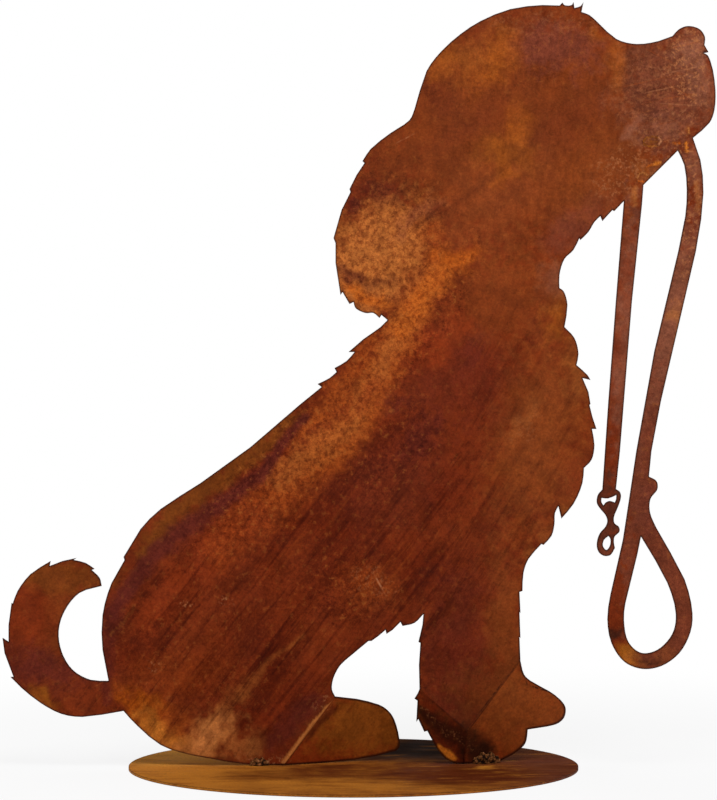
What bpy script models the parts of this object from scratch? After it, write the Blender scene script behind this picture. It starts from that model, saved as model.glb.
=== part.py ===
"""A sitting puppy with its own leash in its mouth: one flat silhouette of rusted sheet steel,
its feet folded back, tack-welded upright on a thin round plate.

Metres, +Z up, +X towards the nose, +Y behind. The origin is the middle of the plate's underside.
"""
import math

import bmesh
import bpy
import numpy
from mathutils import Vector
from mathutils.geometry import tessellate_polygon

# Driving sizes
FIGURE_HEIGHT = 0.598             # from the plate's top to the highest tip of fur
SHEET_THICKNESS = 0.002
PLATE_DIAMETER = 0.352
PLATE_THICKNESS = 0.002
SHEET_FORWARD = 0.006             # the sheet's front face stands this far before the plate's middle
FOOT_FOLD = math.radians(31)      # both feet are folded back by this
HEEL_FOLD = math.radians(20)      # the back corner of the front leg
CLEARANCE = 0.0003                # between pieces that touch

RUMP_BEAD_HEIGHT = 0.006
RUMP_BEAD_DEPTH = 0.005
FOOT_BEAD_HEIGHT = 0.009
FOOT_BEAD_DEPTH = 0.007
BEAD_RIPPLE = 0.16                # how much a bead swells and narrows, as a share of its size

# The free form keeps its proportions as shares of its own height: its outlines are drawn by hand
# on a front view that is this many units high, as (x, z) from the middle of the plate's top
DRAWN_HEIGHT = 764
UNIT = FIGURE_HEIGHT / DRAWN_HEIGHT
SHEET_BOTTOM = PLATE_THICKNESS + CLEARANCE

CURVE_STEP = math.radians(7)      # the largest turn between two short straight steps of a curve
PLATE_SIDES = 128
BEAD_RINGS = 17
BEAD_ARC_STEPS = 5

# Creases, each from its end on one edge of the sheet to its end on the other
HIND_CREASE = ((-69, 0), (-18, 68))
FOOT_CREASE_TOP = (167, 104)
HEEL_CREASE_TOP = (66, 76)
CREASES_MEET = (114, 33)

# Each run is one smooth curve through its points. Where a run starts away from the end of the
# one before, a short straight cut joins them: that is a tip of fur.

HEAD_BACK = [
    [(206, 759.5), (189, 760), (157, 756), (127, 744), (107, 731), (88, 714), (73, 694), (61, 656),
     (56, 645), (37, 632), (17, 616), (9, 604)],
]
EAR = [
    [(11, 602), (3, 590), (-4, 576)],
    [(-3, 573), (-12, 555), (-20, 527)],
    [(-18, 522), (-18, 502), (-13, 470)],
    [(-11, 473), (-4, 461)],
    [(0, 463), (2, 457), (12, 452), (20, 452), (26, 447)],
    [(28, 450), (34, 445)],
]
BACK = [
    [(34, 445), (27, 438), (10, 426), (-5, 413)],
    [(1, 413), (-7, 404), (-19, 397)],
    [(-17, 393), (-24, 387), (-36, 381)],
    [(-32, 378), (-53, 361), (-103, 318), (-153, 282), (-193, 256), (-213, 236), (-230, 208)],
    [(-229, 205), (-242, 182), (-251, 150), (-251, 115), (-245, 84)],
]
TAIL = [
    [(-245, 84), (-263, 85), (-281, 95), (-292, 113), (-295, 134), (-289, 154), (-274, 172),
     (-252, 179)],
    [(-252, 179), (-254, 187), (-262, 195)],
    [(-259, 196), (-268, 202), (-280, 205)],
    [(-277, 207), (-291, 204), (-304, 199)],
    [(-303, 204), (-323, 191), (-336, 174), (-341, 161)],
    [(-342, 162), (-345, 140), (-345, 123)],
    [(-351, 127), (-349, 112), (-340, 88)],
    [(-343, 88), (-332, 77), (-313, 62), (-292, 51), (-271, 48), (-230, 54)],
]
RUMP = [
    [(-230, 54), (-223, 46), (-193, 20), (-163, 10), (-125, 3), (-100, 0)],
    [(-100, 0), HIND_CREASE[0]],
]
HIND_FOOT = [
    [HIND_CREASE[0], (-30, 0)],
    [(-30, 0), (0, 1), (24, 4), (43, 8)],
    [(43, 8), (46.5, 12), (46.5, 21), (41, 42), (35, 51), (26, 57), (4, 64), HIND_CREASE[1]],
]
BELLY = [
    [HIND_CREASE[1], (-21.5, 75), (-20, 87), (-13, 100), (-3, 109), (15, 124)],
    [(18, 124), (25, 129), (32, 135)],
    [(33, 131), (39, 135), (47, 143)],
    [(49, 139), (61, 142), (70, 151)],
    [(70, 151), (69, 140), (65, 123)],
    [(67, 122), (65.5, 100), HEEL_CREASE_TOP],
]
HEEL = [
    [HEEL_CREASE_TOP, (64, 71), (61, 66)],
    [(64, 64), (63, 42)],
    [(65, 45), (71, 32)],
    [(74, 33), (83, 16), (92, 5), (102, 0)],
]
FRONT_FOOT_SOLE = [
    [(148, 0.5), (160, 6), (172, 15), (175, 21), (176, 32)],
    [(176, 32), (196, 34), (208, 37), (214, 43), (215, 53), (209, 62), (199, 70), (179, 82),
     (171, 90), FOOT_CREASE_TOP],
]
LEG_FRONT = [
    [FOOT_CREASE_TOP, (166, 128)],
    [(167, 127), (166, 153)],
    [(167, 152), (166, 173)],
    [(169, 174), (170, 192), (175, 206), (188, 221)],
    [(190, 220), (198, 229), (201, 241), (201.5, 252), (205, 259)],
]
CHEST = [
    [(208, 246.5), (220, 261), (229, 282), (230.5, 297)],
    [(230.5, 297), (238, 305), (241, 320), (238.5, 336)],
    [(243, 336), (239, 348), (236, 360)],
    [(237, 361), (235, 373), (229, 387)],
    [(237, 385), (234, 390), (223, 400)],
    [(223, 400), (225, 411), (221, 427), (211, 438)],
    [(211, 438), (214, 460), (210, 474), (206, 477)],
    [(206, 477), (206, 490), (211, 506), (220, 515), (226, 527)],
]
THROAT = [
    [(227, 525), (235, 533), (241, 543), (247, 549)],
    [(249, 544), (259, 555)],
    [(261, 554), (270.5, 564)],
]
STRAP_WITH_HOOK = [
    [(270.5, 564), (262.5, 464), (255, 364), (249, 275.5)],
]
SNAP_HOOK = [
    [(249, 275.5), (244.5, 270), (243.5, 262), (247, 256), (252, 250), (254, 244), (252, 238),
     (247.5, 233), (244.5, 227), (243.5, 218), (246, 212), (251, 209), (257, 210), (261.5, 217)],
    [(261.5, 217), (260.5, 222), (261, 228), (266, 233.5), (265.5, 238), (261, 242), (260.5, 248),
     (264.5, 258), (267.5, 268), (266.5, 273), (262.5, 276)],
]
STRAP_TO_JAW = [
    [(262.5, 276), (266.5, 314), (278.5, 464), (288.5, 560), (290, 580)],
    [(290, 580), (308, 598), (324.5, 614.5)],
]
STRAP_WITH_HANDLE = [
    [(324.5, 614.5), (331, 600), (333.5, 575), (332, 549), (325, 514), (301, 414), (283, 314),
     (275.5, 264), (269.5, 225), (257, 170), (254, 146), (258, 122), (271, 103), (289, 96),
     (308, 99), (326, 112), (337, 133), (339, 152), (331, 186), (303, 237), (296.5, 253),
     (297, 266), (304, 276), (303, 284), (295.5, 288.5)],
    [(295.5, 288.5), (298, 314), (307.5, 364), (342.5, 514), (350, 572), (347, 605), (339.5, 627)],
]
MUZZLE = [
    [(339.5, 627), (356, 642), (361, 655), (362, 675), (359.5, 695), (357, 704)],
    [(357, 704), (354, 710), (350, 712)],
    [(355, 713), (351, 720)],
    [(351, 720), (351.5, 728), (346, 736), (334, 739), (325, 735.5), (319, 729)],
    [(319, 729), (305, 724), (283, 721), (263, 726), (246, 741), (236, 750), (228, 753)],
]
CROWN_TUFT = [
    [(230, 763), (227, 759), (221, 757)],
    [(220, 763), (218, 760), (211, 760), (209, 762.5)],
]

HANDLE_LOOP = [
    [(287.5, 228.5), (284, 211), (272, 162), (270.5, 145), (275, 123), (288, 112), (304, 115),
     (319, 131), (322.5, 151), (314, 182), (287.5, 228.5)],
]
RING_EYE = [
    [(248, 267), (254.5, 266.5), (263, 270)],
    [(263, 270), (262.8, 266), (261.5, 262.5)],
    [(261.5, 262.5), (256.5, 264), (252.5, 262.5), (250, 259.5)],
    [(250, 259.5), (248, 263), (248, 267)],
]
HOOK_EYE = [
    [(255, 229), (257, 226), (256.5, 219), (253, 215), (249.5, 219), (250.5, 225), (255, 229)],
]

# Tack welds, each along the sheet's bottom edge from one drawn x to another
RUMP_BEAD = (-104, -84)
FOOT_BEAD = (119, 147)

RUST = {
    "dog_with_leash": (0.30, 0.09, 0.03),
    "base_plate": (0.33, 0.13, 0.03),
    "weld": (0.17, 0.07, 0.03),
}


class Fold:
    """A flap of the sheet, bent back about a crease drawn from start to end."""

    def __init__(self, start, end, away_from, angle):
        along = (Vector(end) - Vector(start)).normalized()
        self.start = Vector(start)
        self.across = Vector((along.y, -along.x))
        if self.across.dot(Vector(away_from) - self.start) > 0:
            self.across.negate()
        self.slope = math.tan(angle)

    def depth(self, point):
        """How far behind the flat sheet a drawn point of the flap lies, in drawn units."""
        return self.slope * self.across.dot(Vector(point) - self.start)


FLAT = Fold((0, 0), (1, 0), (0, 1), 0)
MID_BODY = (0, 300)
HIND_FOLD = Fold(*HIND_CREASE, MID_BODY, FOOT_FOLD)
FOOT_FOLD_PLANE = Fold(CREASES_MEET, FOOT_CREASE_TOP, MID_BODY, FOOT_FOLD)
HEEL_FOLD_PLANE = Fold(HEEL_CREASE_TOP, CREASES_MEET, MID_BODY, HEEL_FOLD)


def place(point, fold=FLAT):
    """The real position of a drawn point on the sheet's front face."""
    return Vector((point[0] * UNIT, fold.depth(point) * UNIT - SHEET_FORWARD,
                   point[1] * UNIT + SHEET_BOTTOM))


def smooth(points):
    """A curve through the points, as steps that turn by no more than CURVE_STEP."""
    points = [Vector(p) for p in points]
    if len(points) < 3:
        return points
    ends = [2 * points[0] - points[1], *points, 2 * points[-1] - points[-2]]
    steps = [points[0]]
    for p0, p1, p2, p3 in zip(ends, ends[1:], ends[2:], ends[3:]):
        # Centripetal Catmull-Rom: the knots lie the square root of each distance apart
        k0, k1, k2 = ((b - a).length ** 0.5 for a, b in ((p0, p1), (p1, p2), (p2, p3)))
        leave = (p1 - p0) / k0 - (p2 - p0) / (k0 + k1) + (p2 - p1) / k1
        arrive = (p2 - p1) / k1 - (p3 - p1) / (k1 + k2) + (p3 - p2) / k2
        turn = leave.angle(p2 - p1) + arrive.angle(p2 - p1)
        count = max(1, math.ceil(turn / CURVE_STEP))
        for step in range(1, count + 1):
            t = step / count
            steps.append((2 * t ** 3 - 3 * t ** 2 + 1) * p1 + (t ** 3 - 2 * t ** 2 + t) * k1 * leave
                         + (3 * t ** 2 - 2 * t ** 3) * p2 + (t ** 3 - t ** 2) * k1 * arrive)
    return steps


def outline(*stretches):
    """One closed line through every run of the stretches, without repeated points."""
    line = []
    for runs in stretches:
        for run in runs:
            for point in smooth(run):
                if not line or (point - line[-1]).length > 0.01:
                    line.append(point)
    if (line[0] - line[-1]).length < 0.01:
        line.pop()
    return line


def creases_at_plate():
    """Where the crease between the heel and the front foot meets the plate's top."""
    x_meet = CREASES_MEET[0]
    gap = [HEEL_FOLD_PLANE.depth((x, 0)) - FOOT_FOLD_PLANE.depth((x, 0)) for x in (x_meet, x_meet + 1)]
    return (x_meet + gap[0] / (gap[0] - gap[1]), 0)


def add_facet(bm, fold, *lines):
    """Fill one flat part of the sheet on its own plane: its edge line, less the holes after it."""
    verts = [bm.verts.new(place(point, fold)) for line in lines for point in line]
    for corners in tessellate_polygon([[point.to_3d() for point in line] for line in lines]):
        bm.faces.new([verts[i] for i in corners])


def thicken(bm, thickness):
    """Give a folded skin its thickness behind, mitred at the creases."""
    skin = list(bm.faces)
    rim = [edge for edge in bm.edges if edge.is_boundary]
    behind = {}
    for vert in list(bm.verts):
        normals = numpy.array([face.normal for face in vert.link_faces])
        shift = numpy.linalg.pinv(normals, rcond=0.02) @ numpy.ones(len(normals))
        behind[vert] = bm.verts.new(vert.co - thickness * Vector(shift))
    for face in skin:
        bm.faces.new([behind[vert] for vert in reversed(face.verts)])
    for edge in rim:
        loop = edge.link_loops[0]
        first, second = loop.vert, loop.link_loop_next.vert
        bm.faces.new([second, first, behind[first], behind[second]])


def make_object(name, bm, color):
    """A named object with its own rusty material."""
    mesh = bpy.data.meshes.new(name)
    bm.to_mesh(mesh)
    bm.free()
    material = bpy.data.materials.new(name)
    material.use_nodes = True
    shader = material.node_tree.nodes["Principled BSDF"]
    shader.inputs["Base Color"].default_value = (*color, 1)
    shader.inputs["Roughness"].default_value = 0.75
    shader.inputs["Metallic"].default_value = 0.2
    mesh.materials.append(material)
    made = bpy.data.objects.new(name, mesh)
    bpy.context.scene.collection.objects.link(made)
    return made


def make_dog():
    """The whole silhouette, cut from one sheet, with its folded feet."""
    foot_corner = creases_at_plate()
    heel_bottom = [[HEEL[-1][-1], foot_corner]]
    foot_bottom = [[foot_corner, FRONT_FOOT_SOLE[0][0]]]
    body = outline(HEAD_BACK, EAR, BACK, TAIL, RUMP, BELLY, [[CREASES_MEET]], LEG_FRONT, CHEST,
                   THROAT, STRAP_WITH_HOOK, SNAP_HOOK, STRAP_TO_JAW, STRAP_WITH_HANDLE, MUZZLE,
                   CROWN_TUFT)
    bm = bmesh.new()
    add_facet(bm, FLAT, body, outline(HANDLE_LOOP), outline(RING_EYE), outline(HOOK_EYE))
    add_facet(bm, HIND_FOLD, outline(HIND_FOOT))
    add_facet(bm, HEEL_FOLD_PLANE, outline(HEEL, heel_bottom, [[CREASES_MEET]]))
    add_facet(bm, FOOT_FOLD_PLANE, outline([[CREASES_MEET]], foot_bottom, FRONT_FOOT_SOLE))
    bmesh.ops.remove_doubles(bm, verts=bm.verts, dist=1e-6)
    bmesh.ops.recalc_face_normals(bm, faces=bm.faces)
    bm.normal_update()
    bm.faces.ensure_lookup_table()
    if bm.faces[0].normal.y > 0:
        bmesh.ops.reverse_faces(bm, faces=bm.faces)
    thicken(bm, SHEET_THICKNESS)
    return make_object("dog_with_leash", bm, RUST["dog_with_leash"])


def make_plate():
    """The round plate that the sheet stands on."""
    bm = bmesh.new()
    bmesh.ops.create_cone(bm, cap_ends=True, segments=PLATE_SIDES, radius1=PLATE_DIAMETER / 2,
                          radius2=PLATE_DIAMETER / 2, depth=PLATE_THICKNESS)
    bmesh.ops.translate(bm, verts=bm.verts, vec=(0, 0, PLATE_THICKNESS / 2))
    plate = make_object("base_plate", bm, RUST["base_plate"])
    plate.data.shade_smooth()
    plate.data.set_sharp_from_angle(angle=math.radians(40))
    return plate


def make_bead(name, span, fold, height, depth):
    """A lumpy tack weld that fills the corner between the sheet's front face and the plate."""
    start, end = (place((x, 0), fold) for x in span)
    along = (end - start).normalized()
    up_wall = (place((span[0], 1), fold) - place((span[0], 0), fold)).normalized()
    along_plate = Vector((along.y, -along.x, 0))
    off_wall = along.cross(up_wall).normalized()
    if off_wall.dot(along_plate) < 0:
        off_wall.negate()
    bm = bmesh.new()
    rings = []
    for ring in range(BEAD_RINGS):
        share = ring / (BEAD_RINGS - 1)
        bulge = 0.3 + 0.7 * math.sin(math.pi * share) ** 0.5
        bulge *= 1 + BEAD_RIPPLE * math.cos(share * 6 * math.pi)
        corner = start.lerp(end, share) + CLEARANCE * off_wall
        arc = [corner]
        for step in range(BEAD_ARC_STEPS + 1):
            turn = math.pi / 2 * step / BEAD_ARC_STEPS
            arc.append(corner + bulge * (depth * math.cos(turn) * along_plate
                                         + height * math.sin(turn) * up_wall))
        rings.append([bm.verts.new(point) for point in arc])
    for ring, beyond in zip(rings, rings[1:]):
        for i in range(len(ring)):
            j = (i + 1) % len(ring)
            bm.faces.new([ring[i], ring[j], beyond[j], beyond[i]])
    bm.faces.new(reversed(rings[0]))
    bm.faces.new(rings[-1])
    bmesh.ops.recalc_face_normals(bm, faces=bm.faces)
    bead = make_object(name, bm, RUST["weld"])
    bead.data.shade_smooth()
    bead.data.set_sharp_from_angle(angle=math.radians(50))
    return bead


def main():
    for old in list(bpy.data.objects):
        bpy.data.objects.remove(old)
    make_dog()
    make_plate()
    make_bead("weld_rump", RUMP_BEAD, FLAT, RUMP_BEAD_HEIGHT, RUMP_BEAD_DEPTH)
    make_bead("weld_front_foot", FOOT_BEAD, FOOT_FOLD_PLANE, FOOT_BEAD_HEIGHT, FOOT_BEAD_DEPTH)


main()
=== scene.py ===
"""The looks of a rusted sheet-steel puppy on its round plate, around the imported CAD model.

Metres, +Z up, +X towards the nose, -Y towards the viewer, as in the CAD model. Places on the sheet
are drawn units, the CAD model's own: x from the plate's middle and z above the plate's top.
"""
import math
import random

import bmesh
import bpy
import numpy
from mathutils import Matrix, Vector, kdtree, noise
from mathutils.bvhtree import BVHTree
from mathutils.geometry import delaunay_2d_cdt


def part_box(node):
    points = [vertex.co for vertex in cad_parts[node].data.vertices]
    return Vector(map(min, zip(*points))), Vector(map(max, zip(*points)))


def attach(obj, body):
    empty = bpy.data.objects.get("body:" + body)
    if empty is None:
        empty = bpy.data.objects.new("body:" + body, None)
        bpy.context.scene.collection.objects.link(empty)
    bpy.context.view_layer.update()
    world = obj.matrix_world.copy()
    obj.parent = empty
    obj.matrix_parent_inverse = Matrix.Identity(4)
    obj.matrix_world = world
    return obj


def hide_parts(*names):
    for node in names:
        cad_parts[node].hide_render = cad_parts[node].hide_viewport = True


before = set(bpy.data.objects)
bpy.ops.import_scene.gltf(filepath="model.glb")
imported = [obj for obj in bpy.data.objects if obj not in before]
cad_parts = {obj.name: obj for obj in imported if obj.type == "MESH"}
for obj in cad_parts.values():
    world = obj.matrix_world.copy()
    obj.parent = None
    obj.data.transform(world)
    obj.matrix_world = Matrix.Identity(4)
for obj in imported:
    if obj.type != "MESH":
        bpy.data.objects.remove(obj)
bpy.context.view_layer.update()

# Sizes, from the frame
SHEET_LOW, SHEET_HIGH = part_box("dog_with_leash")
SHEET_UNITS_HIGH = 763            # the sheet's height in drawn units
UNIT = (SHEET_HIGH.z - SHEET_LOW.z) / SHEET_UNITS_HIGH
SHEET_FRONT = SHEET_LOW.y

# Camera, level and square to the sheet, as in the photograph
PHOTO_WIDTH = 717
CAMERA_DISTANCE = 2900            # drawn units, before the sheet's front face
CAMERA_X = 5
CAMERA_Z = 365
SENSOR_WIDTH = 36


def drawn(x, z, before=0.0):
    """The real place of a drawn point, some metres before the sheet's front face."""
    return Vector((x * UNIT, SHEET_FRONT - before, SHEET_LOW.z + z * UNIT))


def drawn_place(place):
    """The drawn (x, z) of a real place."""
    return (place.x / UNIT, (place.z - SHEET_LOW.z) / UNIT)


def rgb(red, green, blue):
    """A colour as seen, 0 to 255, in the linear values that shaders take."""
    def linear(value):
        value /= 255
        return value / 12.92 if value <= 0.04045 else ((value + 0.055) / 1.055) ** 2.4
    return (linear(red), linear(green), linear(blue), 1)


# Rust colours; some also stand for painted light and shade
DEEP_RED = rgb(106, 36, 10)
RED_BROWN = rgb(118, 45, 15)
DARK_STREAK = rgb(72, 25, 10)
MAROON = rgb(88, 30, 20)
PURPLE = rgb(94, 34, 24)
PURPLE_BROWN = rgb(114, 54, 38)
HEAD_BROWN = rgb(119, 53, 19)
OLIVE_BROWN = rgb(122, 64, 18)
FOOT_BROWN = rgb(108, 49, 16)
OLIVE_GOLD = rgb(118, 62, 16)
CHEST_BROWN = rgb(129, 61, 22)
TAN = rgb(170, 96, 40)
EAR_TAN = rgb(178, 101, 44)
TAN_PINK = rgb(184, 112, 54)
ORANGE = rgb(158, 72, 22)
BRIGHT_ORANGE = rgb(186, 90, 22)
GLOWING_ORANGE = rgb(220, 124, 36)
GOLD_ORANGE = rgb(158, 74, 12)
OCHRE = rgb(156, 88, 18)
RUMP_GOLD = rgb(206, 124, 44)
RUMP_PEACH = rgb(208, 132, 70)
HEAD_GOLD = rgb(168, 86, 22)
BRICK = rgb(134, 50, 17)
BRICK_TAN = rgb(140, 66, 28)
PALE_FLECK = rgb(190, 124, 82)
FLECK = rgb(172, 106, 64)
GREY_PURPLE = rgb(118, 62, 40)
PINK_GREY = rgb(146, 90, 66)
DARK_EDGE = rgb(48, 20, 10)
NEAR_BLACK = rgb(28, 12, 6)
HOOK_BROWN = rgb(84, 38, 22)
LEASH_BROWN = rgb(112, 54, 34)
WELD_BROWN = rgb(100, 60, 28)
PLATE_GOLD = rgb(196, 124, 42)
PLATE_GOLD_AND_LIGHT = rgb(252, 176, 72)
# Gold of the plate, also laid on its back left as painted light
PLATE_OCHRE = rgb(160, 94, 30)
PLATE_BROWN = rgb(104, 49, 16)
PLATE_RUST = rgb(92, 36, 8)
PLATE_RED = rgb(104, 50, 28)
PLATE_DARK = rgb(42, 22, 10)

# Patches of rust on the sheet: colour, share, centre, size, angle and softness of the edge
BROAD_PATCHES = [
    (HEAD_BROWN, 0.9, (175, 640), (185, 130), 0, 0.35),
    (CHEST_BROWN, 0.85, (185, 330), (95, 42), 78, 0.6),
    (CHEST_BROWN, 0.5, (150, 470), (60, 45), 0, 0.6),
    (MAROON, 0.35, (100, 385), (50, 45), 0, 0.6),
    (EAR_TAN, 0.9, (25, 505), (66, 40), 60, 0.45),
    (MAROON, 0.3, (40, 285), (60, 50), 50, 0.7),
    (ORANGE, 0.45, (18, 180), (28, 20), 10, 0.7),
    (ORANGE, 0.3, (-182, 84), (36, 26), 30, 0.7),
    (GREY_PURPLE, 0.9, (314, 680), (50, 52), 0, 0.5),
    (PURPLE_BROWN, 0.75, (200, 718), (45, 24), -8, 0.5),
    (PURPLE_BROWN, 0.6, (225, 545), (40, 14), 45, 0.6),
    (CHEST_BROWN, 0.5, (235, 590), (45, 30), 40, 0.6),
    (MAROON, 0.5, (102, 110), (30, 80), 0, 0.6),
    (CHEST_BROWN, 0.75, (152, 135), (16, 80), 4, 0.6),
    (OLIVE_BROWN, 0.85, (14, 36), (55, 30), -8, 0.5),
    (FOOT_BROWN, 0.85, (160, 55), (60, 46), -10, 0.6),
    (MAROON, 0.4, (-48, 52), (15, 38), -40, 0.6),
    (LEASH_BROWN, 0.85, (318, 300), (52, 325), 0, 0.15),
    (OLIVE_BROWN, 0.6, (-298, 188), (60, 16), -5, 0.5),
    (BRICK, 0.5, (-328, 145), (16, 30), 0, 0.5),
    (PURPLE, 0.8, (-312, 98), (40, 19), -12, 0.6),
    (CHEST_BROWN, 0.5, (-290, 150), (12, 40), 15, 0.7),
]
SMALL_PATCHES = [
    (BRIGHT_ORANGE, 0.8, (100, 504), (20, 13), 10, 0.8),
    (BRIGHT_ORANGE, 0.75, (14, 466), (26, 8), -35, 0.5),
    (MAROON, 0.75, (0, 490), (13, 6), 0, 0.5),
    (MAROON, 0.5, (24, 482), (16, 7), 0, 0.6),
    (MAROON, 0.75, (-2, 556), (8, 10), 0, 0.5),
    (MAROON, 0.5, (26, 574), (26, 12), 0, 0.6),
    (PURPLE_BROWN, 0.5, (62, 548), (8, 28), -50, 0.6),
    (BRICK, 0.8, (78, 417), (22, 18), 20, 0.5),
    (BRICK, 0.6, (107, 444), (12, 12), 0, 0.5),
    (PURPLE, 0.45, (116, 414), (10, 22), -20, 0.8),
    (MAROON, 0.7, (31, 362), (16, 12), 30, 0.5),
    (MAROON, 0.6, (67, 328), (26, 14), 50, 0.6),
    (TAN_PINK, 0.15, (170, 345), (20, 8), 50, 0.8),
    (BRICK, 0.4, (196, 242), (6, 8), 0, 0.6),
    (GOLD_ORANGE, 0.85, (-204, 48), (34, 16), -36, 0.6),
    (RUMP_GOLD, 0.85, (-190, 32), (26, 13), -32, 0.7),
    (TAN_PINK, 1.0, (-148, 26), (36, 19), 40, 0.6),
    (TAN_PINK, 0.5, (-108, 20), (18, 9), 40, 0.8),
    (RUMP_PEACH, 0.8, (-150, 28), (26, 13), 42, 0.7),
    (TAN, 0.35, (-128, 62), (30, 9), 52, 0.8),
    # Painted shadow: near black along the rump's lower edge, where it meets the plate
    (NEAR_BLACK, 0.7, (-153, 3), (24, 3), 4, 0.5),
    (HEAD_GOLD, 0.5, (146, 704), (14, 22), -10, 0.9),
    (HEAD_GOLD, 0.35, (118, 696), (26, 18), 20, 0.9),
    (TAN, 0.2, (112, 706), (20, 16), 0, 0.8),
    (MAROON, 0.3, (88, 676), (16, 20), 20, 0.7),
    (MAROON, 0.2, (120, 640), (40, 16), 30, 0.8),
    (MAROON, 0.2, (205, 640), (46, 18), 30, 0.8),
    (BRICK_TAN, 0.6, (142, 574), (56, 34), 35, 0.7),
    (OCHRE, 0.25, (152, 612), (26, 18), 0, 0.8),
    (HEAD_GOLD, 0.35, (88, 704), (13, 15), 0, 0.7),
    (HEAD_GOLD, 0.35, (154, 730), (14, 10), 0, 0.8),
    (HEAD_GOLD, 0.5, (166, 637), (10, 19), 5, 0.95),
    (HEAD_GOLD, 0.5, (147, 599), (9, 17), 0, 0.95),
    (HEAD_GOLD, 0.4, (264, 698), (8, 24), 4, 0.9),
    (HEAD_GOLD, 0.4, (242, 730), (7, 6), 0, 0.7),
    (PINK_GREY, 0.7, (337, 716), (15, 18), 0, 0.6),
    (PINK_GREY, 0.5, (346, 682), (10, 26), 0, 0.6),
    (HOOK_BROWN, 0.9, (253, 241), (20, 42), 0, 0.25),
    (OCHRE, 0.6, (-311, 68), (12, 5), -35, 0.7),
    (PURPLE_BROWN, 0.6, (296, 262), (14, 24), 0, 0.5),
    (OCHRE, 0.75, (273, 112), (16, 9), -42, 0.6),
    (TAN, 0.4, (284, 105), (9, 6), -30, 0.7),
    (OCHRE, 0.12, (311, 107), (11, 8), 30, 0.7),
    (DARK_EDGE, 0.8, (258, 135), (9, 3), 8, 0.6),
    (DARK_EDGE, 0.6, (296, 107), (12, 3), 0, 0.6),
    (NEAR_BLACK, 0.6, (126, 10), (18, 10), 0, 0.7),
    (PINK_GREY, 0.5, (322, 452), (22, 80), -10, 0.7),
    (TAN_PINK, 0.5, (318, 453), (4, 7), -10, 0.7),
    (PINK_GREY, 0.35, (275, 425), (16, 110), 0, 0.7),
    (OCHRE, 0.3, (203, 452), (10, 20), 0, 0.8),
    (TAN, 0.4, (223, 398), (9, 30), 0, 0.8),
    (TAN, 0.4, (211, 255), (8, 9), 0, 0.8),
    (TAN, 0.45, (-14, 528), (9, 14), 0, 0.8),
    (ORANGE, 0.6, (81, 532), (13, 10), 0, 0.8),
    (BRICK, 0.6, (19, 377), (10, 9), 0, 0.8),
    (ORANGE, 0.6, (-14, 374), (9, 8), 0, 0.8),
    (ORANGE, 0.7, (-39, 344), (10, 8), 40, 0.8),
    (ORANGE, 0.6, (-176, 48), (13, 9), 0, 0.8),
    (TAN, 0.3, (294, 595), (10, 9), 0, 0.8),
    (OLIVE_GOLD, 0.6, (-201, 49), (9, 8), -36, 0.8),
    (OLIVE_GOLD, 0.5, (-169, 23), (8, 8), 0, 0.8),
    (BRICK, 0.6, (-98, 286), (9, 8), 0, 0.8),
    (LEASH_BROWN, 0.8, (252, 212), (12, 12), 0, 0.6),
    (TAN, 0.3, (195, 233), (9, 9), 0, 0.8),
    (TAN, 0.3, (175, 213), (9, 9), 0, 0.8),
    (PINK_GREY, 0.35, (201, 483), (12, 16), 0, 0.8),
    (PINK_GREY, 0.45, (314, 634), (14, 12), 0, 0.8),
    (PINK_GREY, 0.45, (344, 600), (9, 14), 0, 0.8),
    (PINK_GREY, 0.4, (284, 626), (10, 9), 0, 0.8),
]
BACK_PATCHES = [
    (ORANGE, 0.5, (150, 640), (90, 60), 20, 0.7),
    (OCHRE, 0.4, (40, 500), (60, 40), 60, 0.7),
    (MAROON, 0.5, (-120, 180), (90, 60), 30, 0.7),
    (CHEST_BROWN, 0.6, (120, 320), (80, 110), 20, 0.7),
    (ORANGE, 0.4, (-200, 60), (50, 30), 0, 0.7),
    (PURPLE_BROWN, 0.5, (300, 680), (60, 50), 0, 0.6),
    (LEASH_BROWN, 0.8, (318, 300), (52, 325), 0, 0.15),
    (OLIVE_BROWN, 0.5, (-300, 130), (50, 60), 0, 0.6),
]
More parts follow.
